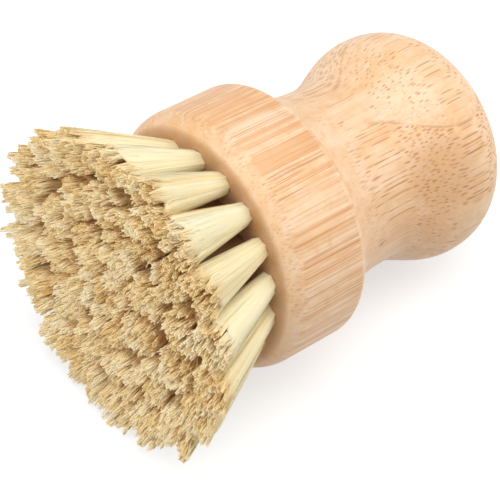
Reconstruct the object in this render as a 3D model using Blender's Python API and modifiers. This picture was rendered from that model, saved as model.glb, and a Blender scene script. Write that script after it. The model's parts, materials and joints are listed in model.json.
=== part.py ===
"""Bamboo scrub brush: a turned bamboo handle with drilled blind holes and a fibre tuft in each hole.

The brush is built upright on its trimmed bristles, with the knob up and its axis along Z, and is then
laid on its side: it rests on the lowest bristle tips and on the knob.
"""

import math
import random

import bmesh
import bpy
from mathutils import Matrix, Vector

MM = 0.001

# Bamboo handle: the drilled block, the neck and the knob
BLOCK_RADIUS = 28.0 * MM
BLOCK_HEIGHT = 20.4 * MM
FRONT_ROUND_ACROSS = 3.7 * MM
FRONT_ROUND_ALONG = 5.2 * MM
REAR_ROUND = 1.8 * MM
NECK_RADIUS = 20.2 * MM
NECK_FROM_BLOCK = 17.8 * MM
KNOB_RADIUS = 25.1 * MM
KNOB_FROM_NECK = 16.6 * MM
DOME_HEIGHT = 15.4 * MM
DOME_FULLNESS = 2.4

# Holes in the block's front face, in rings round a middle hole
RING_STEP = 7.07 * MM
RING_COUNTS = (1, 6, 12, 18)
RING_TURNS = (0.0, math.radians(30.0), math.radians(15.0), 0.0)
HOLE_DEPTH = 11.0 * MM
DRILL_POINT = 1.2 * MM
HOLE_CLEARANCE = 0.3 * MM
CUT_OVERRUN = 1.0 * MM

# Tufts: bundles of fibre folded double over a flat steel anchor
BRISTLE_LENGTH = 23.4 * MM
FLARE_PAST_BLOCK = 7.1 * MM
FLARE_RADIUS = BLOCK_RADIUS + FLARE_PAST_BLOCK
TUFT_RADIUS = 2.5 * MM
FOLD_RADIUS = 2.2 * MM
FOLD_LENGTH = 3.2 * MM
ANCHOR_WIDTH = 5.2 * MM
ANCHOR_HEIGHT = 2.0 * MM
ANCHOR_THICKNESS = 0.5 * MM
CORE_SHARE = 0.7
BEND_LENGTH_SHARE = 0.45
BEND_FAN_SHARE = 0.38
TIP_FAN_SHARE = 2.15
TIP_WIDTH_SHARE = 1.7
BEND_WIDTH_SHARE = 1.25
TRIM_SPREAD = 0.5 * MM

# Facets
TURN_STEPS = 60
ROUND_STEPS = 4
COVE_STEPS = 6
SWELL_STEPS = 8
DOME_STEPS = 9
HOLE_STEPS = 12
TUFT_SIDES = 6
MERGE_DISTANCE = 0.01 * MM
FLAT_ANGLE = math.radians(0.2)
TRIM_SEED = 7

BAMBOO_COLOUR = (0.80, 0.56, 0.34, 1.0)
FIBRE_COLOUR = (0.86, 0.73, 0.46, 1.0)

QUARTER_TURN = math.pi / 2.0


def clear_scene():
    for old in list(bpy.data.objects):
        bpy.data.objects.remove(old, do_unlink=True)


def new_collection(name):
    collection = bpy.data.collections.new(name)
    bpy.context.scene.collection.children.link(collection)
    return collection


def new_material(name, colour, roughness):
    made = bpy.data.materials.new(name)
    made.use_nodes = True
    shader = made.node_tree.nodes["Principled BSDF"]
    shader.inputs["Base Color"].default_value = colour
    shader.inputs["Roughness"].default_value = roughness
    shader.inputs["Metallic"].default_value = 0.0
    return made


def new_piece(name, mesh, collection, parent):
    piece = bpy.data.objects.new(name, mesh)
    collection.objects.link(piece)
    piece.parent = parent
    return piece


def quarter_arc(centre, across, along, start, steps):
    """Points (radius, height) on a quarter of an ellipse that turns down the outside from start."""
    points = []
    for step in range(steps + 1):
        angle = start - QUARTER_TURN * step / steps
        points.append((centre[0] + across * math.cos(angle), centre[1] + along * math.sin(angle)))
    return points


def dome_points(height):
    """The knob's domed end, from the pole to its widest ring: a full, slightly squared ellipse."""
    power = 2.0 / DOME_FULLNESS
    points = []
    for step in range(DOME_STEPS + 1):
        angle = QUARTER_TURN * (1.0 - step / DOME_STEPS)
        radius = KNOB_RADIUS * math.cos(angle) ** power
        points.append((radius, height + DOME_HEIGHT * math.sin(angle) ** power))
    return points


def swell_points(neck_height):
    """From the knob's widest ring down to the neck, in one soft S."""
    points = []
    for step in range(1, SWELL_STEPS + 1):
        share = 1.0 - step / SWELL_STEPS
        swell = 0.5 - 0.5 * math.cos(math.pi * share)
        radius = NECK_RADIUS + (KNOB_RADIUS - NECK_RADIUS) * swell
        points.append((radius, neck_height + KNOB_FROM_NECK * share))
    return points


def cove_points(block_top):
    """The hollow from the neck down to the block's rear face, a quarter of an ellipse."""
    edge_radius = BLOCK_RADIUS - REAR_ROUND
    points = []
    for step in range(1, COVE_STEPS + 1):
        angle = QUARTER_TURN * step / COVE_STEPS
        radius = edge_radius - (edge_radius - NECK_RADIUS) * math.cos(angle)
        points.append((radius, block_top + NECK_FROM_BLOCK * (1.0 - math.sin(angle))))
    return points


def handle_profile():
    """The handle's outline (radius, height), from the knob's pole down to the middle of the front face."""
    face = BRISTLE_LENGTH
    block_top = face + BLOCK_HEIGHT
    neck = block_top + NECK_FROM_BLOCK
    rear = (BLOCK_RADIUS - REAR_ROUND, block_top - REAR_ROUND)
    front = (BLOCK_RADIUS - FRONT_ROUND_ACROSS, face + FRONT_ROUND_ALONG)
    points = dome_points(neck + KNOB_FROM_NECK)
    points += swell_points(neck)
    points += cove_points(block_top)
    points += quarter_arc(rear, REAR_ROUND, REAR_ROUND, QUARTER_TURN, ROUND_STEPS)[1:]
    points += quarter_arc(front, FRONT_ROUND_ACROSS, FRONT_ROUND_ALONG, 0.0, ROUND_STEPS)
    points.append((0.0, face))
    return points


def ring_holes():
    """(ring, number in the ring, radius, angle) of each hole."""
    holes = []
    for ring, count in enumerate(RING_COUNTS):
        for number in range(count):
            angle = RING_TURNS[ring] + 2.0 * math.pi * number / count
            holes.append((ring, number, ring * RING_STEP, angle))
    return holes


def hole_place(radius, angle):
    """Puts a hole's own frame at its mouth, with X pointing away from the brush's axis."""
    out = Matrix.Translation((radius, 0.0, BRISTLE_LENGTH))
    return Matrix.Rotation(angle, 4, "Z") @ out


def make_hole_cutters(collection, parent):
    """All the drilled holes in one mesh of separate cylinders, each with its drill point."""
    radius = (TUFT_RADIUS + HOLE_CLEARANCE) / math.cos(math.pi / HOLE_STEPS)
    depth = HOLE_DEPTH + CUT_OVERRUN
    bm = bmesh.new()
    for _, _, ring_radius, angle in ring_holes():
        middle = Matrix.Translation((0.0, 0.0, depth / 2.0 - CUT_OVERRUN))
        made = bmesh.ops.create_cone(
            bm,
            cap_ends=True,
            segments=HOLE_STEPS,
            radius1=radius,
            radius2=radius,
            depth=depth,
            matrix=hole_place(ring_radius, angle) @ middle,
        )
        deep_end = max({f for v in made["verts"] for f in v.link_faces}, key=lambda f: f.normal.z)
        point = bmesh.ops.poke(bm, faces=[deep_end])["verts"]
        bmesh.ops.translate(bm, verts=point, vec=(0.0, 0.0, DRILL_POINT))
    mesh = bpy.data.meshes.new("hole_cutters")
    bm.to_mesh(mesh)
    bm.free()
    cutters = new_piece("hole_cutters", mesh, collection, parent)
    cutters.display_type = "WIRE"
    cutters.hide_render = True
    return cutters


def make_handle(collection, parent, cutters, material):
    """The turned bamboo piece, drilled for the tufts."""
    bm = bmesh.new()
    corners = [bm.verts.new((radius, 0.0, height)) for radius, height in handle_profile()]
    for upper, lower in zip(corners, corners[1:]):
        bm.edges.new((upper, lower))
    mesh = bpy.data.meshes.new("handle")
    bm.to_mesh(mesh)
    bm.free()
    mesh.materials.append(material)
    handle = new_piece("handle", mesh, collection, parent)
    # A facet, not an edge, faces the ground when the brush lies on its side.
    handle.rotation_euler.z = math.pi / TURN_STEPS
    turned = handle.modifiers.new("turned", "SCREW")
    turned.axis = "Z"
    turned.angle = 2.0 * math.pi
    turned.steps = TURN_STEPS
    turned.render_steps = TURN_STEPS
    turned.use_merge_vertices = True
    turned.merge_threshold = MERGE_DISTANCE
    turned.use_smooth_shade = True
    flat = handle.modifiers.new("one_flat_front", "DECIMATE")
    flat.decimate_type = "DISSOLVE"
    flat.angle_limit = FLAT_ANGLE
    drilled = handle.modifiers.new("drilled", "BOOLEAN")
    drilled.operation = "DIFFERENCE"
    drilled.solver = "EXACT"
    drilled.object = cutters
    return handle


def move_face(bm, face, corners):
    """Extrudes one face by itself and puts the new face's corners at the given places."""
    new_face = bmesh.ops.extrude_discrete_faces(bm, faces=[face])["faces"][0]
    for vertex, place in zip(new_face.verts, corners):
        vertex.co = place
    return new_face


def strand_corners(root, centre, lean, stage):
    """A strand's corners at one stage of its length, worked out from the corners of its root."""
    length_share, lean_share, fan_share, width_share = stage
    middle = centre * fan_share + lean * lean_share
    drop = Vector((0.0, 0.0, -BRISTLE_LENGTH * length_share))
    return [middle + (corner - centre) * width_share + drop for corner in root]


def strand_stages():
    """(length, lean, fan, width) of a strand, as shares, at its bend and at its trimmed tip."""
    bend_fan = 1.0 + (TIP_FAN_SHARE - 1.0) * BEND_FAN_SHARE
    return (
        (BEND_LENGTH_SHARE, BEND_FAN_SHARE, bend_fan, BEND_WIDTH_SHARE),
        (1.0, 1.0, TIP_FAN_SHARE, TIP_WIDTH_SHARE),
    )


def tuft_root(bm):
    """The folded bundle inside the hole, with its anchor. Returns the faces that the strands grow from."""
    depth = HOLE_DEPTH - HOLE_CLEARANCE
    straight = depth - FOLD_LENGTH
    bmesh.ops.create_cone(
        bm,
        cap_ends=True,
        segments=TUFT_SIDES,
        radius1=TUFT_RADIUS,
        radius2=FOLD_RADIUS,
        depth=straight,
        matrix=Matrix.Translation((0.0, 0.0, straight / 2.0)),
    )
    mouth = min(bm.faces, key=lambda face: face.calc_center_median().z)
    deep_end = max(bm.faces, key=lambda face: face.calc_center_median().z)
    fold = [vertex.co + Vector((0.0, 0.0, FOLD_LENGTH)) for vertex in deep_end.verts]
    move_face(bm, deep_end, fold)
    add_anchor(bm, straight + FOLD_LENGTH / 2.0)
    apothem = TUFT_RADIUS * math.cos(math.pi / TUFT_SIDES)
    bmesh.ops.inset_region(bm, faces=[mouth], thickness=apothem * (1.0 - CORE_SHARE), use_even_offset=True)
    bmesh.ops.poke(bm, faces=[mouth])
    bm.normal_update()
    return [face for face in bm.faces if abs(face.calc_center_median().z) < MERGE_DISTANCE]


def add_anchor(bm, height):
    """Draws the two ends of the flat anchor out of opposite sides of the fold."""
    bm.normal_update()
    walls = [face for face in bm.faces if abs(face.calc_center_median().z - height) < MERGE_DISTANCE]
    for side in (-1.0, 1.0):
        wall = max(walls, key=lambda face: face.normal.x * side)
        walls.remove(wall)
        centre = Vector((wall.calc_center_median().x, 0.0, height))
        frame = []
        for vertex in wall.verts:
            across = math.copysign(ANCHOR_THICKNESS / 2.0, vertex.co.y)
            along = math.copysign(ANCHOR_HEIGHT / 2.0, vertex.co.z - height)
            frame.append(centre + Vector((0.0, across, along)))
        foot = move_face(bm, wall, frame)
        reach = Vector((side * ANCHOR_WIDTH / 2.0 - centre.x, 0.0, 0.0))
        move_face(bm, foot, [place + reach for place in frame])


def make_tuft_mesh(ring, lean, material):
    """A tuft of the given ring: twelve strands that grow from the faces of one folded root."""
    trim = random.Random(TRIM_SEED + ring)
    bm = bmesh.new()
    for face in tuft_root(bm):
        root = [vertex.co.copy() for vertex in face.verts]
        centre = face.calc_center_median()
        for stage in strand_stages():
            face = move_face(bm, face, strand_corners(root, centre, lean, stage))
        # The middle tuft is trimmed level, and the strands round it end a little short of it.
        uneven = TRIM_SPREAD * trim.random() if ring > 0 else 0.0
        for vertex in face.verts:
            vertex.co.z += uneven
    bmesh.ops.recalc_face_normals(bm, faces=bm.faces)
    mesh = bpy.data.meshes.new(f"tuft_ring_{ring}")
    bm.to_mesh(mesh)
    bm.free()
    mesh.materials.append(material)
    return mesh


def fan_reach():
    """How far a tuft's tips reach from the tuft's own middle, towards the rim of the brush."""
    bm = bmesh.new()
    reach = 0.0
    for face in tuft_root(bm):
        root = [vertex.co.copy() for vertex in face.verts]
        tips = strand_corners(root, face.calc_center_median(), Vector(), strand_stages()[-1])
        reach = max(reach, max(tip.x for tip in tips))
    bm.free()
    return reach


def make_tufts(collection, parent, material):
    """One object for each tuft; the tufts of a ring share their mesh."""
    rings = len(RING_COUNTS) - 1
    outer_lean = FLARE_RADIUS - fan_reach() - rings * RING_STEP
    meshes = []
    for ring in range(len(RING_COUNTS)):
        lean = Vector((outer_lean * ring / rings, 0.0, 0.0))
        meshes.append(make_tuft_mesh(ring, lean, material))
    patterns = ("center_tuft", "inner_tuft_{}", "middle_tuft_{:02d}", "outer_tuft_{:02d}")
    tufts = []
    for ring, number, radius, angle in ring_holes():
        tuft = new_piece(patterns[ring].format(number + 1), meshes[ring], collection, parent)
        tuft.matrix_local = hole_place(radius, angle)
        tufts.append(tuft)
    return tufts


def world_corners(pieces):
    """Every corner of the finished pieces, in world space."""
    bpy.context.view_layer.update()
    graph = bpy.context.evaluated_depsgraph_get()
    corners = []
    for piece in pieces:
        shown = piece.evaluated_get(graph)
        mesh = shown.to_mesh()
        corners += [shown.matrix_world @ vertex.co for vertex in mesh.vertices]
        shown.to_mesh_clear()
    return corners


def lay_on_side(brush, handle, tufts):
    """Tips the upright brush over until its rim of bristles and its knob both touch the ground.

    Its own +Y side turns down. The origin then lies under the middle of the brush, on the ground.
    """
    rim = max(world_corners(tufts), key=lambda corner: corner.y)
    knob_start = BRISTLE_LENGTH + BLOCK_HEIGHT
    tilts = []
    for corner in world_corners([handle]):
        if corner.z > knob_start:
            tilts.append(math.atan2(rim.y - corner.y, corner.z - rim.z))
    brush.rotation_euler.x = -(QUARTER_TURN + min(tilts))
    corners = world_corners([handle] + tufts)
    low = [min(corner[axis] for corner in corners) for axis in range(3)]
    high = [max(corner[axis] for corner in corners) for axis in range(3)]
    brush.location = (-(low[0] + high[0]) / 2.0, -(low[1] + high[1]) / 2.0, -low[2])
    bpy.context.view_layer.update()


def build():
    clear_scene()
    parts = new_collection("bamboo_scrub_brush")
    cutters = new_collection("cutters")
    bamboo = new_material("bamboo", BAMBOO_COLOUR, roughness=0.5)
    fibre = new_material("fibre", FIBRE_COLOUR, roughness=0.8)
    brush = bpy.data.objects.new("brush", None)
    parts.objects.link(brush)
    hole_cutters = make_hole_cutters(cutters, brush)
    handle = make_handle(parts, brush, hole_cutters, bamboo)
    tufts = make_tufts(parts, brush, fibre)
    lay_on_side(brush, handle, tufts)


build()
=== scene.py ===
"""The looks of the bamboo scrub brush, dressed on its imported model.

The pieces are made in the brush's own frame, where Z runs along the brush's axis, from the trimmed face of
the bristles to the knob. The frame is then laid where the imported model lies.
"""

import json
import math

import bmesh
import bpy
import numpy as np
from mathutils import Matrix, Vector

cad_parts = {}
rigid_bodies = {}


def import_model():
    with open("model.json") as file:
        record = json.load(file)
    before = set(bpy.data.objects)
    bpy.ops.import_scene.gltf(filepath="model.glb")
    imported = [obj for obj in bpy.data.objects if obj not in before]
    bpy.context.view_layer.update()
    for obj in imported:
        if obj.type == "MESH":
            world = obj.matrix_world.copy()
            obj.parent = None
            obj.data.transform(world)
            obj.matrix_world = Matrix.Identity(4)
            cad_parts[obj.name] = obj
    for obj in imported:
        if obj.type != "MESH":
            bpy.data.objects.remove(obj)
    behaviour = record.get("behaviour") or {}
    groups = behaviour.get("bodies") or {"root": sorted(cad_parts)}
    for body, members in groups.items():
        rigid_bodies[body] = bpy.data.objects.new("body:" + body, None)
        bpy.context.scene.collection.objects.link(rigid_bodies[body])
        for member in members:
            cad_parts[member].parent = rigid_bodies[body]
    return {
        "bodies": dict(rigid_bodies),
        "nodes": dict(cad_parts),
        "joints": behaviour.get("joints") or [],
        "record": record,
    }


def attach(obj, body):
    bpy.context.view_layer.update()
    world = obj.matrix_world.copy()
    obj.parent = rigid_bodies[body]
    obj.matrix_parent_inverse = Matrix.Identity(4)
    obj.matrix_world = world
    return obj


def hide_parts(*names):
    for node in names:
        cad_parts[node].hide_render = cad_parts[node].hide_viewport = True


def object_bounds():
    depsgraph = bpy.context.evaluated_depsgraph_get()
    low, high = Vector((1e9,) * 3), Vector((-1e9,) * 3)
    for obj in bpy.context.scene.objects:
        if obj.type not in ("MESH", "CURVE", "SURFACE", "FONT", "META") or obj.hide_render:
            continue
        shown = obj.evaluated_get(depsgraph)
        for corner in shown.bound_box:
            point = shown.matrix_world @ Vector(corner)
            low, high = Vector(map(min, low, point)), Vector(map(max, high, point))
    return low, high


MM = 0.001

# Bamboo handle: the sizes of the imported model, with finer steps
BLOCK_RADIUS = 28.0 * MM
BLOCK_HEIGHT = 20.4 * MM
FRONT_ROUND_ACROSS = 3.7 * MM
FRONT_ROUND_ALONG = 5.2 * MM
REAR_ROUND = 1.8 * MM
NECK_RADIUS = 20.2 * MM
NECK_FROM_BLOCK = 17.8 * MM
KNOB_RADIUS = 25.1 * MM
KNOB_FROM_NECK = 16.6 * MM
DOME_HEIGHT = 15.4 * MM
DOME_FULLNESS = 2.4
OVERALL_LENGTH = 93.6 * MM
TURN_STEPS = 240
ROUND_STEPS = 10
COVE_STEPS = 20
SWELL_STEPS = 26
DOME_STEPS = 30
MERGE_DISTANCE = 0.01 * MM
FLAT_ANGLE = math.radians(0.2)
CREASE_ANGLE = math.radians(40.0)

# Holes and tufts
RING_STEP = 7.07 * MM
RING_COUNTS = (1, 6, 12, 18)
RING_TURNS = (0.0, math.radians(30.0), math.radians(15.0), 0.0)
TUFT_NODES = ("center_tuft", "inner_tuft_{}", "middle_tuft_{:02d}", "outer_tuft_{:02d}")
HOLE_RADIUS = 2.4 * MM
HOLE_DEPTH = 11.0 * MM
DRILL_POINT = 1.2 * MM
HOLE_STEPS = 28
CUT_OVERRUN = 1.0 * MM

# Fibres
FIBRE_SEED = 11
GOLDEN_ANGLE = math.pi * (3.0 - math.sqrt(5.0))
BRISTLE_LENGTH = 23.4 * MM
BUNDLE_RADIUS = 2.5 * MM
BUNDLE_FLATS = 7
FACE_STEP = 10.1 * MM
SPREAD = np.array([5.85, 6.1]) * MM
SPREAD_POWERS = (1.1, 1.1, 1.1, 1.03)
OUTSIDE_FROM = -0.8
OUTSIDE_FADE = 0.6
OUTSIDE_RIM = 0.65
LOOSE_FROM = 0.88
LOCKS_PER_TUFT = 6
LOCK_REACH = 0.66
LOCK_SCATTER = 0.14
LOCK_PULL = 0.22
LOCK_SHIFT = 0.38 * MM
LOCK_TRIM = np.array([-0.8, 0.6]) * MM
LOCK_DOME = 0.9 * MM
RIM_DROP = 1.3 * MM
RIM_DROP_POWER = 4
WISPS_PER_TUFT = 54
WISP_PULL = 0.38
WISP_LEAN = 0.26 * MM
WISP_TRIM = 0.9 * MM
SIDE_FIBRES = 300
SIDE_RIM = (0.985, 1.0)
SIDE_FLATNESS = 0.2
SIDE_RADIUS = 0.10 * MM
SIDE_LOOSENESS = 0.95
SIDE_SHARES = (0.0, 0.1, 0.3, 0.6, 0.88, 1.0)
END_FIBRES = 1000
END_REACH = 0.97
END_SHARES = (0.77, 0.88, 1.0)
END_RADIUS = 0.14 * MM
FIBRE_SIDES = 4
FIBRE_RADIUS_SPREAD = (0.75, 1.25)
FIBRE_TRIM = 0.75 * MM
FIBRE_JITTER = 0.15 * MM
FIBRE_TONE_PARTS = (0.36, 0.26, 0.38)
SHORT_SHARE = 0.05
SHORT_TRIM = 2.0 * MM
STRAY_SHARE = 0.015
STRAY_LEAN = 0.7 * MM
WAVE = 0.09 * MM
WAVE_TURNS = (0.5, 1.3)
CORE_COLUMNS = 96
CORE_SHARES = (0.0, 0.06, 0.16, 0.34, 0.52, 0.70, 0.82, 0.895, 0.80)
CORE_TRIM = 1.2 * MM
CORE_TOP_WIDTH = 0.6
CORE_WIDTH = 0.985
CORE_RIDGE = 0.008
CORE_TONE_PARTS = (0.6, 0.35)
SHADE_FROM = 2.0 * MM
SHADE_DEPTH = 5.5 * MM
FLOOR_GAP = 0.15 * MM

# Each tube of a tuft is unrolled into its own cell of the texture, in shares of the texture or of the cell
TEXTURE_NAME = "OFBake"
CORE_TEXTURE = (0.0, 0.38)
SIDE_TEXTURE = (0.38, 0.17)
END_TEXTURE = (0.55, 0.45)
CELL_MARGIN = 0.06
CELL_CAP = 0.12

# Bamboo, with places in the brush's own millimetres and colours as they look on screen
SEAM_PLACE = -19.3
GRAIN_DRIFT = 1.0
DRIFT_GRAIN = (0.10, 0.05, 2.0)
FINE_GRAIN = (3.3, 0.04, 3.0)
MIDDLE_GRAIN = (0.9, 0.02, 1.0)
BROAD_GRAIN = (0.12, 0.02, 2.0)
MOTTLE_SCALE = 0.33
MOTTLE_DETAIL = 3.0
BUNDLES_PER_MM = 1.45
BUNDLE_SCATTER = 0.8
DOT_SIZE = (0.19, -0.04, 0.18)
DOT_DEPTH = (0.46, -0.08, 0.6)
DOT_FADE = (0.35, 1.35, 1.0, 0.0)
DOTS_BY_LAYER = (
    (0.00, 0.9), (0.06, 0.82), (0.110, 0.6), (0.150, 0.2), (0.155, 1.0),
    (0.34, 0.85), (0.42, 0.50), (0.52, 0.18), (1.00, 0.12),
)
DOTS_BY_HEIGHT = (
    (0.24, 0.2), (0.265, 0.35), (0.30, 1.0), (0.445, 1.0),
    (0.455, 0.08), (0.53, 0.2), (0.60, 1.0), (1.00, 1.0),
)
DOTS_ON_SIDE = (-0.4, 0.95)
DOT_COLOUR = (190, 124, 72)
STREAKS_BY_HEIGHT = ((0.265, 0.15), (0.295, 1.0), (0.447, 1.0), (0.455, 0.1), (0.6, 0.35))
GROUND_COLOURS = ((0.35, (243, 198, 149)), (0.50, (246, 206, 161)), (0.65, (250, 216, 178)))
DARK_MOTTLE_FADE = (0.50, 0.70, 0.0, 0.45)
DARK_MOTTLE_COLOUR = (233, 184, 132)
PALE_MOTTLE_FADE = (0.48, 0.32, 0.0, 0.5)
PALE_MOTTLE_COLOUR = (252, 220, 192)
SPOT_FADE = (0.0, 0.6)
# Painted highlight: a pale whitish patch on the knob's top strip, where the lamp above shines back
PAINTED_HIGHLIGHT_SPOT = ((7.0, -22.0, 70.5), (11.0, 9.0, 10.0))
PAINTED_HIGHLIGHT_SHARE = 0.25
PAINTED_HIGHLIGHT_COLOUR = (252, 230, 206)
# A darker patch on the swell of the knob
DARK_SPOT = ((20.0, -12.0, 71.0), (12.0, 10.0, 11.0))
DARK_SPOT_SHARE = 0.55
DARK_SPOT_COLOUR = (216, 168, 122)
# Painted shade: the front lip darker and browner next to the tufts
LIP_SHADE_FADE = (BRISTLE_LENGTH / MM + 0.3, BRISTLE_LENGTH / MM + 4.0, 0.2, 0.0)
LIP_SHADE_COLOUR = (228, 174, 118)
STREAK_FADE = (0.50, 0.62, 0.0, 0.9)
STREAK_GROUND_FADE = (0.36, 0.52, 1.0, 0.45)
STREAK_COLOUR = (216, 143, 86)
BAND_FADE = (0.46, 0.62, 0.0, 0.7)
BAND_COLOUR = (236, 178, 124)
STAIN_HEIGHT_FADE = (33.0, 43.0)
STAIN_END = 44.0
STAIN_SIDE_FADE = (-26.0, -8.0, 1.0, 0.25)
STAIN_BAND_FADE = (0.40, 0.60)
STAIN_SHARE = 0.4
STAIN_COLOUR = (219, 148, 88)
GLUE_FADE = (0.08, 0.22, 1.0, 0.0)
GLUE_HEIGHT_FADE = (59.0, 63.0)
GLUE_MOTTLE_FADE = (0.38, 0.60, 0.12, 0.42)
GLUE_COLOUR = (186, 134, 96)
# Painted shade: the front face among the tufts and the mouths of the holes darker and browner
FRONT_FACE_SHADE_FADE = (BRISTLE_LENGTH / MM + 0.05, BRISTLE_LENGTH / MM + 0.9, 0.5, 0.0)
FRONT_FACE_SHADE_COLOUR = (168, 112, 68)
ROUGHNESS_FADE = (0.0, 1.0, 0.40, 0.6)
BAMBOO_SPECULAR = 0.5
RELIEF_DEPTH = 0.03 * MM
RELIEF_STRENGTH = 0.5
RELIEF_OF_GRAIN = 0.3

# Plant fibre, with colours as they look on screen
BODY_COLOURS = ((0.10, (248, 212, 148)), (0.36, (255, 242, 196)), (0.85, (255, 250, 220)))
END_COLOURS = ((0.15, (226, 186, 118)), (0.45, (250, 225, 170)), (0.85, (255, 243, 212)))
END_FADE = (0.80, 1.0)
# Painted shade: the deeper a fibre lies between the tufts, the more golden and then deep brown it is painted
PAINTED_SHADE_COLOURS = ((0.05, (190, 134, 70)), (0.9, (248, 208, 142)))
PAINTED_SHADE_FADE = (0.0, 0.3, 0.0, 0.75)
PAINTED_DEEP_SHADE_COLOUR = (146, 98, 56)
PAINTED_DEEP_SHADE_FADE = (0.6, 1.0, 0.0, 0.85)
FIBRE_ROUGHNESS = 0.55
FIBRE_SPECULAR = 0.3
SHEEN = 0.4
SHEEN_ROUGHNESS = 0.45
SHEEN_TINT = (255, 240, 204)

# Camera, light and floor
CAMERA_PLACE = (0.198093, -0.189906, 0.335833)
CAMERA_TURN = (40.5125, -1.8405, 49.4687)
CAMERA_LENS = 144.0
CAMERA_SENSOR = 36.0
FLOOR_SIZE = 6.0
SKY_LEVEL = 0.37
LAMPS = (
    ("lamp_above", 0.41, 40.0, (0.14, 0.0, 1.0)),
    ("lamp_bristles", 0.47, 60.0, (-0.12, -0.86, 0.5)),
    ("lamp_knob", 0.34, 60.0, (0.36, 0.87, 0.42)),
)
FLOOR_GREY = 0.5
FLOOR_GLOW = 0.62


def quarter_arc(centre, across, along, start, steps):
    """Points (radius, height) on a quarter of an ellipse that turns down the outside from start."""
    points = []
    for step in range(steps + 1):
        angle = start - math.pi / 2.0 * step / steps
        points.append((centre[0] + across * math.cos(angle), centre[1] + along * math.sin(angle)))
    return points


def handle_profile():
    """The handle's outline (radius, height), from the knob's pole down to the middle of the front face."""
    face = BRISTLE_LENGTH
    block_top = face + BLOCK_HEIGHT
    neck = block_top + NECK_FROM_BLOCK
    widest = neck + KNOB_FROM_NECK
    power = 2.0 / DOME_FULLNESS
    points = []
    for step in range(DOME_STEPS + 1):
        angle = math.pi / 2.0 * (1.0 - step / DOME_STEPS)
        radius = KNOB_RADIUS * math.cos(angle) ** power
        points.append((radius, widest + DOME_HEIGHT * math.sin(angle) ** power))
    for step in range(1, SWELL_STEPS + 1):
        share = 1.0 - step / SWELL_STEPS
        swell = 0.5 - 0.5 * math.cos(math.pi * share)
        points.append((NECK_RADIUS + (KNOB_RADIUS - NECK_RADIUS) * swell, neck + KNOB_FROM_NECK * share))
    edge_radius = BLOCK_RADIUS - REAR_ROUND
    for step in range(1, COVE_STEPS + 1):
        angle = math.pi / 2.0 * step / COVE_STEPS
        radius = edge_radius - (edge_radius - NECK_RADIUS) * math.cos(angle)
        points.append((radius, block_top + NECK_FROM_BLOCK * (1.0 - math.sin(angle))))
    rear = (edge_radius, block_top - REAR_ROUND)
    front = (BLOCK_RADIUS - FRONT_ROUND_ACROSS, face + FRONT_ROUND_ALONG)
    points += quarter_arc(rear, REAR_ROUND, REAR_ROUND, math.pi / 2.0, ROUND_STEPS)[1:]
    points += quarter_arc(front, FRONT_ROUND_ACROSS, FRONT_ROUND_ALONG, 0.0, ROUND_STEPS)
    points.append((0.0, face))
    return points


def ring_holes():
    """(node's name, ring, place of the hole in the brush's frame) of each tuft."""
    holes = []
    for ring, count in enumerate(RING_COUNTS):
        for number in range(count):
            angle = RING_TURNS[ring] + 2.0 * math.pi * number / count
            out = Matrix.Translation((ring * RING_STEP, 0.0, BRISTLE_LENGTH))
            holes.append((TUFT_NODES[ring].format(number + 1), ring, Matrix.Rotation(angle, 4, "Z") @ out))
    return holes


def brush_frame(record):
    """The brush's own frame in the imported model, from the mount on its trimmed face.

    Its origin is beside the mount, on the brush's axis. Its Z runs along that axis, and its Y points down.
    """
    mount = record["mounts"][0]
    along = -Vector(mount["axis"]).normalized()
    across = Vector((1.0, 0.0, 0.0))
    down = along.cross(across)
    frame = Matrix((across, down, along)).transposed().to_4x4()
    frame.translation = Vector((0.0, mount["pos_m"][1], mount["pos_m"][2]))
    return frame


def link(name, data):
    made = bpy.data.objects.new(name, data)
    bpy.context.scene.collection.objects.link(made)
    return made


def finished_mesh(piece, name):
    """A piece's mesh with its modifiers applied."""
    graph = bpy.context.evaluated_depsgraph_get()
    mesh = bpy.data.meshes.new_from_object(piece.evaluated_get(graph))
    mesh.name = name
    return mesh


def make_hole_cutters():
    radius = HOLE_RADIUS / math.cos(math.pi / HOLE_STEPS)
    depth = HOLE_DEPTH + CUT_OVERRUN
    bm = bmesh.new()
    for _, _, place in ring_holes():
        middle = Matrix.Translation((0.0, 0.0, depth / 2.0 - CUT_OVERRUN))
        made = bmesh.ops.create_cone(
            bm,
            cap_ends=True,
            segments=HOLE_STEPS,
            radius1=radius,
            radius2=radius,
            depth=depth,
            matrix=place @ middle,
        )
        deep_end = max({f for v in made["verts"] for f in v.link_faces}, key=lambda f: f.normal.z)
        point = bmesh.ops.poke(bm, faces=[deep_end])["verts"]
        bmesh.ops.translate(bm, verts=point, vec=(0.0, 0.0, DRILL_POINT))
    mesh = bpy.data.meshes.new("hole_cutters")
    bm.to_mesh(mesh)
    bm.free()
    return link("hole_cutters", mesh)


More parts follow.
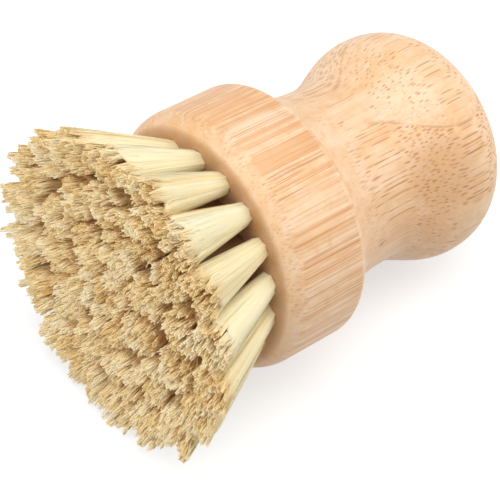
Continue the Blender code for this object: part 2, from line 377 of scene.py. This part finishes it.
def make_handle():
    """The turned and drilled bamboo piece, in the brush's own frame."""
    bm = bmesh.new()
    corners = [bm.verts.new((radius, 0.0, height)) for radius, height in handle_profile()]
    for upper, lower in zip(corners, corners[1:]):
        bm.edges.new((upper, lower))
    outline = bpy.data.meshes.new("outline")
    bm.to_mesh(outline)
    bm.free()
    blank = link("blank", outline)
    turned = blank.modifiers.new("turned", "SCREW")
    turned.axis = "Z"
    turned.angle = 2.0 * math.pi
    turned.steps = TURN_STEPS
    turned.render_steps = TURN_STEPS
    turned.use_merge_vertices = True
    turned.merge_threshold = MERGE_DISTANCE
    turned.use_smooth_shade = True
    flat = blank.modifiers.new("one_flat_front", "DECIMATE")
    flat.decimate_type = "DISSOLVE"
    flat.angle_limit = FLAT_ANGLE
    cutters = make_hole_cutters()
    drilled = blank.modifiers.new("drilled", "BOOLEAN")
    drilled.operation = "DIFFERENCE"
    drilled.solver = "EXACT"
    drilled.object = cutters
    bpy.context.view_layer.update()
    mesh = finished_mesh(blank, "turned_handle")
    mesh.shade_smooth()
    mesh.set_sharp_from_angle(angle=CREASE_ANGLE)
    bpy.data.objects.remove(blank, do_unlink=True)
    bpy.data.objects.remove(cutters, do_unlink=True)
    return link("turned_handle", mesh)


def unit_disc(rng, count):
    """Places spread evenly over a disc of radius 1."""
    number = np.arange(count)
    reach = np.sqrt((number + 0.5) / count)
    turn = number * GOLDEN_ANGLE + rng.uniform(0.0, 2.0 * math.pi)
    return np.stack([np.cos(turn), np.sin(turn)], axis=1) * reach[:, None]


def directions(rng, count):
    """Unit vectors (x, y) in random directions."""
    angle = rng.uniform(0.0, 2.0 * math.pi, count)
    return np.stack([np.cos(angle), np.sin(angle)], axis=1)


def nearest(places, middles):
    """The middle that each place is nearest to, and how far it is from it."""
    apart = np.linalg.norm(places[:, None] - middles[None], axis=2)
    return apart.argmin(axis=1), apart.min(axis=1)


def way_out(share, trim):
    """How far fibres of a trimmed length have come, at shares of their length, from 0 at the hole to 1."""
    return share[None] * (1.0 - trim[:, None] / BRISTLE_LENGTH)


class Tuft:
    """How one tuft opens from its hole, whose own frame has X away from the brush's axis.

    Its fibres part into a few locks, and their ends gather into small wisps.
    """

    def __init__(self, rng, ring, place):
        self.rng = rng
        self.ring = ring
        self.place = np.array(place)
        self.turn = rng.uniform(0.0, 2.0 * math.pi)
        scatter = rng.normal(0.0, LOCK_SCATTER, (LOCKS_PER_TUFT, 2))
        self.locks = unit_disc(rng, LOCKS_PER_TUFT) * LOCK_REACH + scatter
        self.lock_shift = rng.normal(0.0, LOCK_SHIFT, (LOCKS_PER_TUFT, 2))
        self.lock_trim = rng.uniform(*LOCK_TRIM, LOCKS_PER_TUFT)
        self.lock_tone = rng.random(LOCKS_PER_TUFT)
        self.wisps = unit_disc(rng, WISPS_PER_TUFT)
        self.wisp_lean = rng.normal(0.0, WISP_LEAN, (WISPS_PER_TUFT, 2))
        self.wisp_trim = rng.exponential(WISP_TRIM, WISPS_PER_TUFT)
        self.wisp_tone = rng.random(WISPS_PER_TUFT)

    def lines(self, roots, share, trim):
        """Centre lines of fibres from roots in a disc of radius 1, at shares of the way to their ends."""
        lock, _ = nearest(roots, self.locks)
        ends = roots * (1.0 - LOCK_PULL) + self.locks[lock] * LOCK_PULL
        ends = ends * SPREAD + self.lock_shift[lock]
        ends[:, 0] += self.ring * (FACE_STEP - RING_STEP)
        facet = 2.0 * math.pi / BUNDLE_FLATS
        angle = (np.arctan2(roots[:, 1], roots[:, 0]) + self.turn) % facet - facet / 2.0
        width = BUNDLE_RADIUS * math.cos(facet / 2.0) / np.cos(angle)
        starts = roots * width[:, None]
        way = way_out(share, trim)[:, :, None]
        sideways = 1.0 - np.maximum(1.0 - way, 0.0) ** SPREAD_POWERS[self.ring]
        flat = starts[:, None] * (1.0 - sideways) + ends[:, None] * sideways
        return np.concatenate([flat, -BRISTLE_LENGTH * way], axis=2)

    def laid(self, lines):
        """The lines where the brush lies. Those that would pass through the floor bend along it."""
        placed = lines @ self.place[:3, :3].T + self.place[:3, 3]
        placed[..., 2] = np.maximum(placed[..., 2], FLOOR_GAP)
        return placed

    def outside(self, roots):
        """1 at the outer side of an outer tuft, where no other tuft stands before it, and 0 elsewhere."""
        outer = self.ring == len(RING_COUNTS) - 1
        at_rim = np.linalg.norm(roots, axis=1) > OUTSIDE_RIM
        return outer * at_rim * np.clip((roots[:, 0] - OUTSIDE_FROM) / OUTSIDE_FADE, 0.0, 1.0)

    def shape_trim(self, roots):
        """How much shorter the shapes of the locks and of the tuft's rounded end leave fibres."""
        lock, apart = nearest(roots, self.locks)
        rim = np.linalg.norm(roots, axis=1) ** RIM_DROP_POWER * (1.0 - self.outside(roots))
        return self.lock_trim[lock] + LOCK_DOME * apart ** 2 + RIM_DROP * rim

    def shade(self, roots, share, trim):
        """How much painted shade a fibre's colour gets: 0 where light reaches a fibre, and 1 deep between the
        tufts.
        """
        depth = BRISTLE_LENGTH * (1.0 - way_out(share, trim))
        depth = np.clip((depth - SHADE_FROM) / SHADE_DEPTH, 0.0, 1.0)
        return (1.0 - self.outside(roots))[:, None] * depth

    def fibres(self, roots, share, looseness):
        """Centre lines with each fibre's own bends and trimmed length, and the fibres' tones and shades."""
        rng = self.rng
        count = len(roots)
        lock, _ = nearest(roots, self.locks)
        wisp, _ = nearest(roots, self.wisps)
        trim = self.wisp_trim[wisp] + rng.exponential(FIBRE_TRIM, count)
        short = rng.random(count) < SHORT_SHARE
        trim += np.where(short, rng.uniform(0.0, SHORT_TRIM, count), 0.0)
        trim = self.shape_trim(roots) + looseness * trim
        lines = self.lines(roots, share, trim)
        phase = rng.uniform(0.0, 2.0 * math.pi, (count, 1, 2))
        pace = rng.uniform(*WAVE_TURNS, (count, 1, 2)) * 2.0 * math.pi
        swing = np.sin(phase + pace * share[None, :, None]) - np.sin(phase)
        lines[:, :, :2] += WAVE * looseness * share[None, :, None] * swing
        drift = (self.wisps[wisp] - roots) * SPREAD * WISP_PULL + self.wisp_lean[wisp]
        drift += rng.normal(0.0, FIBRE_JITTER, (count, 2))
        stray = rng.random(count) < STRAY_SHARE
        drift += np.where(stray[:, None], rng.normal(0.0, STRAY_LEAN, (count, 2)), 0.0)
        loose = looseness * np.clip((share - LOOSE_FROM) / (1.0 - LOOSE_FROM), 0.0, 1.0)
        lines[:, :, :2] += loose[None, :, None] * drift[:, None]
        own, of_wisp, of_lock = FIBRE_TONE_PARTS
        tone = own * rng.random(count) + of_wisp * self.wisp_tone[wisp] + of_lock * self.lock_tone[lock]
        return self.laid(lines), tone, self.shade(roots, share, trim)


def tubes(rng, lines, outward, size, flatness):
    """Corners of thin tubes, as an array of fibres, stations, sides and x, y, z. They are flatter outward."""
    along = np.gradient(lines, axis=1)
    along /= np.linalg.norm(along, axis=2, keepdims=True)
    up = outward[:, None] - (outward[:, None] * along).sum(axis=2, keepdims=True) * along
    up /= np.linalg.norm(up, axis=2, keepdims=True)
    side = np.cross(along, up)
    angle = 2.0 * math.pi * np.arange(FIBRE_SIDES) / FIBRE_SIDES
    radius = size * rng.uniform(*FIBRE_RADIUS_SPREAD, (len(lines), 1, 1, 1))
    offset = np.cos(angle)[:, None] * side[:, :, None] + flatness * np.sin(angle)[:, None] * up[:, :, None]
    return lines[:, :, None] + radius * offset


def tuft_core(tuft):
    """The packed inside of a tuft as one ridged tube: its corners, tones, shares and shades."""
    rng = tuft.rng
    angle = 2.0 * math.pi * np.arange(CORE_COLUMNS) / CORE_COLUMNS
    around = np.stack([np.cos(angle), np.sin(angle)], axis=1)
    ridges = CORE_WIDTH + CORE_RIDGE * rng.normal(0.0, 1.0, (CORE_COLUMNS, 1))
    share = np.array(CORE_SHARES)
    lock, _ = nearest(around, tuft.locks)
    trim = tuft.shape_trim(around) + rng.uniform(0.0, CORE_TRIM, CORE_COLUMNS)
    lines = tuft.lines(around * ridges, share, trim)
    middle = lines[:, -1:].mean(axis=0)
    lines[:, -1, :2] = middle[:, :2] + (lines[:, -1, :2] - middle[:, :2]) * CORE_TOP_WIDTH
    lines = tuft.laid(lines)
    own, of_lock = CORE_TONE_PARTS
    tone = own * rng.random(CORE_COLUMNS) + of_lock * tuft.lock_tone[lock]
    return lines[None].transpose(0, 2, 1, 3), tone[None], share, tuft.shade(around, share, trim)[None]


class Tubes:
    """Closed tubes, from an array of their corners by tube, station and side: their faces and values."""

    def __init__(self, corners, tone, share, shade, texture, smooth):
        shape = corners.shape[:3]
        index = np.arange(math.prod(shape)).reshape(shape)
        after = np.roll(index, -1, axis=2)
        walls = np.stack([index[:, :-1], index[:, 1:], after[:, 1:], after[:, :-1]], axis=-1)
        self.corners = corners.reshape(-1, 3)
        self.walls = walls.reshape(-1, 4)
        self.ends = np.concatenate([index[:, 0], index[:, -1, ::-1]])
        self.values = {"tone": tone, "along": share[None, :, None], "shade": shade}
        for kind, values in self.values.items():
            self.values[kind] = np.broadcast_to(values, shape).ravel()
        self.wall_places, self.end_places = texture_places(shape, texture)
        self.smooth = smooth


def texture_places(shape, texture):
    """Where tubes lie in the texture, each in its own cell, for the corners of walls and of ends."""
    count, stations, sides = shape
    left, width = texture
    columns = math.ceil(math.sqrt(count * width))
    rows = math.ceil(count / columns)
    number = np.arange(count)
    cells = np.stack([number % columns, number // columns], axis=1)
    across = np.linspace(CELL_MARGIN, 1.0 - CELL_MARGIN, sides + 1)
    up = np.linspace(CELL_MARGIN, 1.0 - CELL_MARGIN, stations)
    grid = np.stack(np.meshgrid(across, up), axis=-1)
    wall = np.stack([grid[:-1, :-1], grid[1:, :-1], grid[1:, 1:], grid[:-1, 1:]], axis=2)
    angle = 2.0 * math.pi * np.arange(sides) / sides
    cap = CELL_CAP * np.stack([np.cos(angle), np.sin(angle)], axis=1)
    caps = np.stack([cap + (0.5, CELL_MARGIN + CELL_CAP), cap[::-1] + (0.5, 1.0 - CELL_MARGIN - CELL_CAP)])
    size = np.array([width / columns, 1.0 / rows])
    walls = (cells[:, None] + wall.reshape(1, -1, 2)) * size + (left, 0.0)
    ends = (cells[None, :, None] + caps[:, None]) * size + (left, 0.0)
    return walls.reshape(-1, 2), ends.reshape(-1, 2)


def tuft_mesh(name, rng, ring, place):
    """One tuft: its core, the fibres down its sides and the fibre ends of its trimmed face."""
    tuft = Tuft(rng, ring, place)
    corners, tone, share, shade = tuft_core(tuft)
    parts = [Tubes(corners, tone[:, None], share, shade.transpose(0, 2, 1), CORE_TEXTURE, True)]
    outward = directions(rng, SIDE_FIBRES)
    rim = outward * rng.uniform(*SIDE_RIM, (SIDE_FIBRES, 1))
    disc = unit_disc(rng, END_FIBRES) * END_REACH
    any_way = directions(rng, END_FIBRES)
    for roots, facing, shares, size, flatness, looseness, texture, smooth in (
        (rim, outward, SIDE_SHARES, SIDE_RADIUS, SIDE_FLATNESS, SIDE_LOOSENESS, SIDE_TEXTURE, False),
        (disc, any_way, END_SHARES, END_RADIUS, 1.0, 1.0, END_TEXTURE, True),
    ):
        share = np.array(shares)
        lines, tone, shade = tuft.fibres(roots, share, looseness)
        corners = tubes(rng, lines, facing @ tuft.place[:3, :2].T, size, flatness)
        parts.append(Tubes(corners, tone[:, None, None], share, shade[:, :, None], texture, smooth))
    return joined_tubes(name, parts)


def joined_tubes(name, parts):
    """One mesh of several kinds of tubes."""
    start = 0
    walls, ends = [], []
    for part in parts:
        walls += (part.walls + start).tolist()
        ends += (part.ends + start).tolist()
        start += len(part.corners)
    mesh = bpy.data.meshes.new(name)
    mesh.from_pydata(np.concatenate([part.corners for part in parts]), [], walls + ends)
    smooth = [np.full(len(part.walls), part.smooth) for part in parts] + [np.full(len(ends), False)]
    mesh.polygons.foreach_set("use_smooth", np.concatenate(smooth))
    for kind in parts[0].values:
        values = np.concatenate([part.values[kind] for part in parts]).astype(np.float32)
        mesh.attributes.new(kind, "FLOAT", "POINT").data.foreach_set("value", values)
    places = [part.wall_places for part in parts] + [part.end_places for part in parts]
    texture = mesh.uv_layers.new(name=TEXTURE_NAME)
    texture.uv.foreach_set("vector", np.concatenate(places).astype(np.float32).ravel())
    mesh.update()
    return mesh


def make_fibres(frame):
    """A tuft of fibres in each hole. Returns (piece, node it stands for)."""
    made = []
    for number, (node, ring, place) in enumerate(ring_holes()):
        rng = np.random.default_rng(FIBRE_SEED + number)
        mesh = tuft_mesh(node + "_fibres", rng, ring, frame @ place)
        made.append((link(node + "_fibres", mesh), node))
    return made


def grey(level):
    return (level, level, level, 1.0)


def linear(colour):
    """A colour written as it looks on screen, from 0 to 255, as the linear values that nodes take."""
    values = []
    for part in colour:
        level = part / 255.0
        values.append(level / 12.92 if level <= 0.04045 else ((level + 0.055) / 1.055) ** 2.4)
    return (*values, 1.0)


class Nodes:
    """Short calls that add nodes to the tree of a material or a world, their owner.

    Where a call takes a value, a plain number or colour is set and another node's output is linked.
    """

    def __init__(self, owner, shader):
        self.owner = owner
        owner.use_nodes = True
        self.tree = owner.node_tree
        self.shader = self.tree.nodes[shader]

    def put(self, socket, value):
        if isinstance(value, bpy.types.NodeSocket):
            self.tree.links.new(value, socket)
        else:
            socket.default_value = value

    def fill(self, node, inputs):
        """Puts values in a node's sockets, by the sockets' names."""
        for name, value in inputs.items():
            self.put(node.inputs[name], value)

    def add(self, kind, **inputs):
        node = self.tree.nodes.new(kind)
        self.fill(node, inputs)
        return node

    def maths(self, operation, *values):
        node = self.tree.nodes.new("ShaderNodeMath")
        node.operation = operation
        for socket, value in zip(node.inputs, values):
            self.put(socket, value)
        return node.outputs[0]

    def product(self, first, *others):
        for other in others:
            first = self.maths("MULTIPLY", first, other)
        return first

    def vector(self, x, y, z):
        return self.add("ShaderNodeCombineXYZ", X=x, Y=y, Z=z).outputs[0]

    def split(self, vector):
        return self.add("ShaderNodeSeparateXYZ", Vector=vector).outputs

    def place_in(self, place, origin, units, turn=(0.0, 0.0, 0.0)):
        """A place as measured in a frame with this origin, length of its units and turn."""
        node = self.add("ShaderNodeMapping", Vector=place, Location=origin, Rotation=turn, Scale=units)
        node.vector_type = "TEXTURE"
        return node.outputs["Vector"]

    def attribute(self, name):
        node = self.add("ShaderNodeAttribute")
        node.attribute_name = name
        return node.outputs["Fac"]

    def noise(self, vector, scale, detail):
        return self.add("ShaderNodeTexNoise", Vector=vector, Scale=scale, Detail=detail).outputs["Fac"]

    def fade(self, value, low, high, start=0.0, end=1.0):
        """Start where the value is at low, end where it is at high, and a smooth step between."""
        node = self.tree.nodes.new("ShaderNodeMapRange")
        node.interpolation_type = "SMOOTHSTEP"
        for socket, given in zip(node.inputs, (value, low, high, start, end)):
            self.put(socket, given)
        return node.outputs[0]

    def ramp(self, value, stops):
        """A colour ramp through stops of (place, level of grey or colour as it looks on screen)."""
        node = self.add("ShaderNodeValToRGB", Fac=value)
        bar = node.color_ramp.elements
        while len(bar) < len(stops):
            bar.new(0.5)
        for element, (place, shown) in zip(bar, stops):
            element.position = place
            element.color = linear(shown) if isinstance(shown, tuple) else grey(shown)
        return node.outputs["Color"]

    def mix(self, share, first, second):
        node = self.tree.nodes.new("ShaderNodeMix")
        node.data_type = "RGBA"
        self.put(node.inputs["Factor"], share)
        first_colour, second_colour = (socket for socket in node.inputs if socket.type == "RGBA")
        self.put(first_colour, first)
        self.put(second_colour, second)
        return next(socket for socket in node.outputs if socket.type == "RGBA")

    def painted(self, ground, layers):
        """A ground with layers of (share, colour as it looks on screen) over it, from first to last."""
        for share, colour in layers:
            ground = self.mix(share, ground, linear(colour))
        return ground

    def bump(self, height, distance, strength):
        return self.add("ShaderNodeBump", Height=height, Distance=distance, Strength=strength).outputs[0]

    def seen(self):
        """1 for the camera and in reflections, and 0 for the light that falls on other things."""
        paths = self.add("ShaderNodeLightPath").outputs
        return self.maths("MAXIMUM", paths["Is Camera Ray"], paths["Is Glossy Ray"])


def material_nodes(name):
    """The nodes of a new material."""
    return Nodes(bpy.data.materials.new(name), "Principled BSDF")


def brush_place(nodes, frame):
    """The place on the brush in its own frame, in millimetres, as x, y and z."""
    place = nodes.add("ShaderNodeTexCoord").outputs["Object"]
    return nodes.split(nodes.place_in(place, frame.translation, (MM, MM, MM), frame.to_euler()))


def grain_noise(nodes, x, y, z, grain):
    """Noise drawn out along the brush. A grain is (cycles a millimetre across, cycles along, detail)."""
    across, along, detail = grain
    drawn_out = nodes.vector(
        nodes.maths("MULTIPLY", x, across),
        nodes.maths("MULTIPLY", y, across),
        nodes.maths("MULTIPLY", z, along),
    )
    return nodes.noise(drawn_out, 1.0, detail)


def spot(nodes, place, middle, reach):
    """1 in the middle of a soft spot on the brush, and 0 at its reach."""
    ball = nodes.add("ShaderNodeTexGradient", Vector=nodes.place_in(place, middle, reach))
    ball.gradient_type = "SPHERICAL"
    return nodes.fade(ball.outputs["Fac"], *SPOT_FADE)


def by_dot(nodes, pick, top_strip, parts):
    """A value of each dot, from (what all have, what the top strip adds, what chance adds at most)."""
    common, in_top_strip, by_chance = parts
    level = nodes.maths("MULTIPLY_ADD", top_strip, in_top_strip, common)
    return nodes.maths("MULTIPLY_ADD", pick, by_chance, level)


def bamboo_dots(nodes, x, y, height, top_strip):
    """How dark the cut ends of fibre bundles are, and 0 between them. Each strip has most at its top."""
    layer = nodes.maths("DIVIDE", nodes.maths("ADD", y, BLOCK_RADIUS / MM), 2.0 * BLOCK_RADIUS / MM)
    flat = nodes.vector(x, y, 0.0)
    bundle = nodes.add("ShaderNodeTexVoronoi", Vector=flat, Scale=BUNDLES_PER_MM, Randomness=BUNDLE_SCATTER)
    bundle.voronoi_dimensions = "2D"
    pick = nodes.split(bundle.outputs["Color"])
    present = nodes.maths("LESS_THAN", pick[0], nodes.ramp(layer, DOTS_BY_LAYER))
    size = by_dot(nodes, pick[1], top_strip, DOT_SIZE)
    near = nodes.fade(nodes.maths("DIVIDE", bundle.outputs["Distance"], size), *DOT_FADE)
    depth = by_dot(nodes, pick[2], top_strip, DOT_DEPTH)
    return nodes.product(near, present, depth, nodes.ramp(height, DOTS_BY_HEIGHT))


def bamboo_material(frame):
    """Glue-laminated bamboo: its fibre bundles run along the brush, dark where the turning cuts them."""
    nodes = material_nodes("laminated_bamboo")
    straight_x, y, z = brush_place(nodes, frame)
    drift = grain_noise(nodes, straight_x, y, z, DRIFT_GRAIN)
    x = nodes.maths("ADD", straight_x, nodes.maths("MULTIPLY_ADD", drift, GRAIN_DRIFT, -GRAIN_DRIFT / 2.0))
    place = nodes.vector(x, y, z)
    height = nodes.maths("DIVIDE", z, OVERALL_LENGTH / MM)
    on_side = nodes.ramp(height, STREAKS_BY_HEIGHT)
    top_strip = nodes.maths("LESS_THAN", y, SEAM_PLACE)
    from_seam = nodes.maths("ABSOLUTE", nodes.maths("SUBTRACT", y, SEAM_PLACE))
    fine = grain_noise(nodes, x, y, z, FINE_GRAIN)
    middle = grain_noise(nodes, x, y, z, MIDDLE_GRAIN)
    broad = grain_noise(nodes, x, y, z, BROAD_GRAIN)
    mottle = nodes.noise(place, MOTTLE_SCALE, MOTTLE_DETAIL)

    dots = bamboo_dots(nodes, x, y, height, top_strip)
    # Painted highlight on the knob
    painted_highlight = nodes.product(spot(nodes, place, *PAINTED_HIGHLIGHT_SPOT), top_strip, PAINTED_HIGHLIGHT_SHARE)
    dark_spot = nodes.product(spot(nodes, place, *DARK_SPOT), DARK_SPOT_SHARE)
    streak = nodes.product(nodes.fade(fine, *STREAK_FADE), on_side, nodes.fade(broad, *STREAK_GROUND_FADE))
    band = nodes.product(nodes.fade(middle, *BAND_FADE), on_side)
    stain = nodes.product(
        nodes.fade(z, *STAIN_HEIGHT_FADE),
        nodes.maths("LESS_THAN", z, STAIN_END),
        nodes.fade(y, *STAIN_SIDE_FADE),
        nodes.fade(middle, *STAIN_BAND_FADE),
        STAIN_SHARE,
    )
    glue = nodes.product(
        nodes.fade(from_seam, *GLUE_FADE),
        nodes.fade(z, *GLUE_HEIGHT_FADE),
        nodes.fade(mottle, *GLUE_MOTTLE_FADE),
    )
    colour = nodes.painted(nodes.ramp(broad, GROUND_COLOURS), (
        (nodes.fade(mottle, *DARK_MOTTLE_FADE), DARK_MOTTLE_COLOUR),
        (nodes.fade(mottle, *PALE_MOTTLE_FADE), PALE_MOTTLE_COLOUR),
        (painted_highlight, PAINTED_HIGHLIGHT_COLOUR),
        (dark_spot, DARK_SPOT_COLOUR),
        # Painted shade on the front lip, next to the tufts
        (nodes.fade(z, *LIP_SHADE_FADE), LIP_SHADE_COLOUR),
        (streak, STREAK_COLOUR),
        (band, BAND_COLOUR),
        (stain, STAIN_COLOUR),
        (glue, GLUE_COLOUR),
        (nodes.product(dots, nodes.maths("MULTIPLY_ADD", on_side, *DOTS_ON_SIDE)), DOT_COLOUR),
        # Painted shade on the front face and the mouths of the holes
        (nodes.fade(z, *FRONT_FACE_SHADE_FADE), FRONT_FACE_SHADE_COLOUR),
    ))
    relief = nodes.maths("SUBTRACT", nodes.maths("MULTIPLY", fine, RELIEF_OF_GRAIN), dots)
    nodes.fill(nodes.shader, {
        "Base Color": colour,
        "Roughness": nodes.fade(dots, *ROUGHNESS_FADE),
        "Specular IOR Level": BAMBOO_SPECULAR,
        "Normal": nodes.bump(relief, RELIEF_DEPTH, RELIEF_STRENGTH),
    })
    return nodes.owner


def fibre_material():
    """Dry plant fibre: cream along its length and beige at the trimmed end, with painted shade, golden to
    deep brown, between the tufts.
    """
    nodes = material_nodes("plant_fibre")
    tone, along, shade = (nodes.attribute(name) for name in ("tone", "along", "shade"))
    colour = nodes.ramp(tone, BODY_COLOURS)
    colour = nodes.mix(nodes.fade(along, *END_FADE), colour, nodes.ramp(tone, END_COLOURS))
    # Painted shade, from the shade attribute: golden, then deep brown
    colour = nodes.mix(nodes.fade(shade, *PAINTED_SHADE_FADE), colour, nodes.ramp(tone, PAINTED_SHADE_COLOURS))
    colour = nodes.mix(nodes.fade(shade, *PAINTED_DEEP_SHADE_FADE), colour, linear(PAINTED_DEEP_SHADE_COLOUR))
    nodes.fill(nodes.shader, {
        "Base Color": colour,
        "Roughness": FIBRE_ROUGHNESS,
        "Specular IOR Level": FIBRE_SPECULAR,
        "Sheen Weight": SHEEN,
        "Sheen Roughness": SHEEN_ROUGHNESS,
        "Sheen Tint": linear(SHEEN_TINT),
    })
    return nodes.owner


def make_floor(low):
    """A pale floor under the object, which also glows where it is seen."""
    bpy.ops.mesh.primitive_plane_add(size=FLOOR_SIZE, location=(0.0, 0.0, low))
    floor = bpy.context.object
    floor.name = "floor"
    nodes = material_nodes("pale_floor")
    nodes.fill(nodes.shader, {
        "Base Color": grey(FLOOR_GREY),
        "Roughness": 1.0,
        "Specular IOR Level": 0.0,
        "Emission Strength": nodes.maths("MULTIPLY", nodes.seen(), FLOOR_GLOW),
        "Emission Color": grey(1.0),
    })
    floor.data.materials.append(nodes.owner)


def make_sky():
    """Even light from all sides, from a sky that looks white."""
    nodes = Nodes(bpy.data.worlds.new("white_sky"), "Background")
    strength = nodes.add("ShaderNodeMapRange", Value=nodes.seen())
    nodes.fill(strength, {"To Min": SKY_LEVEL, "To Max": 1.0})
    nodes.fill(nodes.shader, {"Color": grey(1.0), "Strength": strength.outputs[0]})
    bpy.context.scene.world = nodes.owner


def make_lamps():
    """Very soft lamps, as (name, strength, softness in degrees, way to the lamp)."""
    for name, strength, softness, way in LAMPS:
        lamp = bpy.data.lights.new(name, "SUN")
        lamp.energy = strength * math.pi
        lamp.angle = math.radians(softness)
        link(name, lamp).rotation_euler = Vector(way).to_track_quat("Z", "Y").to_euler()


def make_camera():
    camera = link("camera", bpy.data.cameras.new("camera"))
    camera.location = CAMERA_PLACE
    camera.rotation_euler = [math.radians(turn) for turn in CAMERA_TURN]
    camera.data.lens = CAMERA_LENS
    camera.data.sensor_width = CAMERA_SENSOR
    bpy.context.scene.camera = camera


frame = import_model()
cad_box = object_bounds()
make_camera()
laid = brush_frame(frame["record"])

handle = make_handle()
handle.data.transform(laid)
handle.data.materials.clear()
handle.data.materials.append(bamboo_material(laid))
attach(handle, "root")
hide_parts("handle")

fibre = fibre_material()
for piece, node in make_fibres(laid):
    piece.data.materials.append(fibre)
    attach(piece, "root")
    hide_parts(node)

make_floor(cad_box[0].z)
make_sky()
make_lamps()
bpy.context.scene.view_settings.view_transform = "Standard"
